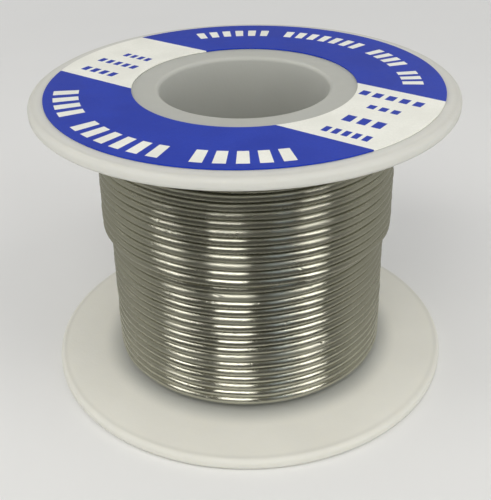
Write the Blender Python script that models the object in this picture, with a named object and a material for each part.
"""Solder wire spool: a bobbin moulded in two halves, the solder wound on it and a ring label.

Metres, +Z up along the spool's axis. The origin is the middle of the lower flange's outside
face, on which the spool stands. Every piece is turned about +Z.
"""

import math

import bpy

# The wire, close-wound in whole layers, with one more layer that covers the upper part only
WIRE_DIAMETER = 0.0010
WINDING_RADIUS = 0.0170  # outside of the whole layers
LAYER_RISE = 0.00087  # a layer sinks a little into the grooves of the one below
PART_LAYER_END = 0.0187  # height at which the part layer stops

# The bobbin's driving sizes
FLANGE_RADIUS = 0.0250
FLANGE_THICKNESS = 0.0015
FLANGE_GAP = 0.0330  # between the flanges' inner faces
FLANGE_EDGE_RADIUS = 0.0006
BORE_RADIUS = 0.0100
BORE_LIP_RADIUS = 0.0005  # the rounded lip at each end of the bore
SPIGOT_RADIUS = 0.0113
HUB_INNER_RADIUS = 0.0116
HUB_RADIUS = 0.0125
HUB_SHOULDER = 0.0040  # height of the shoulder that the spigot stops at
LEAD_IN = 0.0003  # chamfer on the ends of the hub and of the spigot

# The label on the upper flange
LABEL_RADIUS = 0.02325
LABEL_HOLE_RADIUS = 0.0132
LABEL_THICKNESS = 0.00015
GLUE_THICKNESS = 0.00005

CLEARANCE = 0.0003  # kept between pieces that touch on the real spool
FLATS = 72  # facets round each turned piece
EDGE_STEPS = 3  # facets round a quarter of a flange's edge
LIP_STEPS = 4  # facets round a quarter of a bore lip
SEAM_MERGE = 0.00001
SMOOTH_ANGLE = math.radians(35)

LOWER_FACE = FLANGE_THICKNESS  # the inner face of the lower flange
UPPER_FACE = LOWER_FACE + FLANGE_GAP  # the inner face of the upper flange
SPOOL_TOP = UPPER_FACE + FLANGE_THICKNESS

MILKY_WHITE = (0.72, 0.73, 0.68)
SOLDER_GREY = (0.60, 0.59, 0.55)
LABEL_BLUE = (0.035, 0.065, 0.42)


def clear_scene():
    for old in list(bpy.data.objects):
        bpy.data.objects.remove(old, do_unlink=True)


def plain_material(name, colour, roughness, metallic=0.0):
    material = bpy.data.materials.new(name)
    material.use_nodes = True
    shader = material.node_tree.nodes["Principled BSDF"]
    shader.inputs["Base Color"].default_value = (*colour, 1.0)
    shader.inputs["Roughness"].default_value = roughness
    shader.inputs["Metallic"].default_value = metallic
    return material


def quarter_arc(centre, radius, start_degrees, turn_degrees, steps):
    """Points (r, z) along a quarter circle, both ends included."""
    points = []
    for step in range(steps + 1):
        angle = math.radians(start_degrees + turn_degrees * step / steps)
        r = centre[0] + radius * math.cos(angle)
        z = centre[1] + radius * math.sin(angle)
        points.append((r, z))
    return points


def turned_piece(name, profile, material):
    """Turns a closed profile of (r, z) points, which runs down its outer side, about +Z."""
    count = len(profile)
    mesh = bpy.data.meshes.new(name)
    edges = [(i, (i + 1) % count) for i in range(count)]
    mesh.from_pydata([(r, 0.0, z) for r, z in profile], edges, [])
    mesh.materials.append(material)
    piece = bpy.data.objects.new(name, mesh)
    bpy.context.scene.collection.objects.link(piece)
    screw = piece.modifiers.new("turn", "SCREW")
    screw.axis = "Z"
    screw.steps = FLATS
    screw.render_steps = FLATS
    screw.use_merge_vertices = True
    screw.merge_threshold = SEAM_MERGE
    screw.use_smooth_shade = True
    bpy.context.view_layer.objects.active = piece
    bpy.ops.object.select_all(action="DESELECT")
    piece.select_set(True)
    bpy.ops.object.modifier_apply(modifier=screw.name)
    mesh.set_sharp_from_angle(angle=SMOOTH_ANGLE)
    return piece


def flange_edge(top):
    """The rounded rim of a flange whose upper face is at height top, from top to bottom."""
    middle = FLANGE_RADIUS - FLANGE_EDGE_RADIUS
    upper = quarter_arc((middle, top - FLANGE_EDGE_RADIUS), FLANGE_EDGE_RADIUS, 90, -90, EDGE_STEPS)
    bottom = top - FLANGE_THICKNESS
    lower = quarter_arc((middle, bottom + FLANGE_EDGE_RADIUS), FLANGE_EDGE_RADIUS, 0, -90, EDGE_STEPS)
    return upper + lower


def lower_half(material):
    """The lower flange with the hub tube. The tube's foot narrows to the bore, as a shoulder."""
    hub_top = UPPER_FACE - CLEARANCE
    lip_centre = (BORE_RADIUS + BORE_LIP_RADIUS, BORE_LIP_RADIUS)
    profile = [(HUB_RADIUS - LEAD_IN, hub_top), (HUB_RADIUS, hub_top - LEAD_IN), (HUB_RADIUS, LOWER_FACE)]
    profile += flange_edge(LOWER_FACE)
    profile += quarter_arc(lip_centre, BORE_LIP_RADIUS, 270, -90, LIP_STEPS)
    profile += [(BORE_RADIUS, HUB_SHOULDER), (HUB_INNER_RADIUS, HUB_SHOULDER), (HUB_INNER_RADIUS, hub_top)]
    return turned_piece("lower_bobbin_half", profile, material)


def upper_half(material):
    """The upper flange with the spigot that fills the hub tube and lines the bore."""
    spigot_end = HUB_SHOULDER + CLEARANCE
    lip_centre = (BORE_RADIUS + BORE_LIP_RADIUS, SPOOL_TOP - BORE_LIP_RADIUS)
    profile = flange_edge(SPOOL_TOP)
    profile += [(SPIGOT_RADIUS, UPPER_FACE), (SPIGOT_RADIUS, spigot_end + LEAD_IN)]
    profile += [(SPIGOT_RADIUS - LEAD_IN, spigot_end), (BORE_RADIUS, spigot_end)]
    profile += quarter_arc(lip_centre, BORE_LIP_RADIUS, 180, -90, LIP_STEPS)
    return turned_piece("upper_bobbin_half", profile, material)


def winding(material):
    """The wound wire's outer shape: full layers, with one part layer round the upper stretch."""
    wire_radius = WIRE_DIAMETER / 2
    inner = HUB_RADIUS + CLEARANCE
    full = WINDING_RADIUS
    part = WINDING_RADIUS + LAYER_RISE
    top = UPPER_FACE - CLEARANCE
    bottom = LOWER_FACE + CLEARANCE
    profile = [(inner, top), (part - wire_radius, top), (part, top - wire_radius)]
    profile += [(part, PART_LAYER_END + wire_radius), (full, PART_LAYER_END - wire_radius)]
    profile += [(full, bottom + wire_radius), (full - wire_radius, bottom), (inner, bottom)]
    return turned_piece("solder_winding", profile, material)


def ring_label(material):
    """The stuck-on paper ring, a glue line above the upper flange."""
    under = SPOOL_TOP + GLUE_THICKNESS
    top = under + LABEL_THICKNESS
    profile = [(LABEL_HOLE_RADIUS, top), (LABEL_RADIUS, top), (LABEL_RADIUS, under), (LABEL_HOLE_RADIUS, under)]
    return turned_piece("ring_label", profile, material)


clear_scene()
lower_half(plain_material("milky plastic, lower half", MILKY_WHITE, 0.40))
upper_half(plain_material("milky plastic, upper half", MILKY_WHITE, 0.40))
winding(plain_material("bright solder", SOLDER_GREY, 0.25, metallic=1.0))
ring_label(plain_material("printed paper", LABEL_BLUE, 0.45))
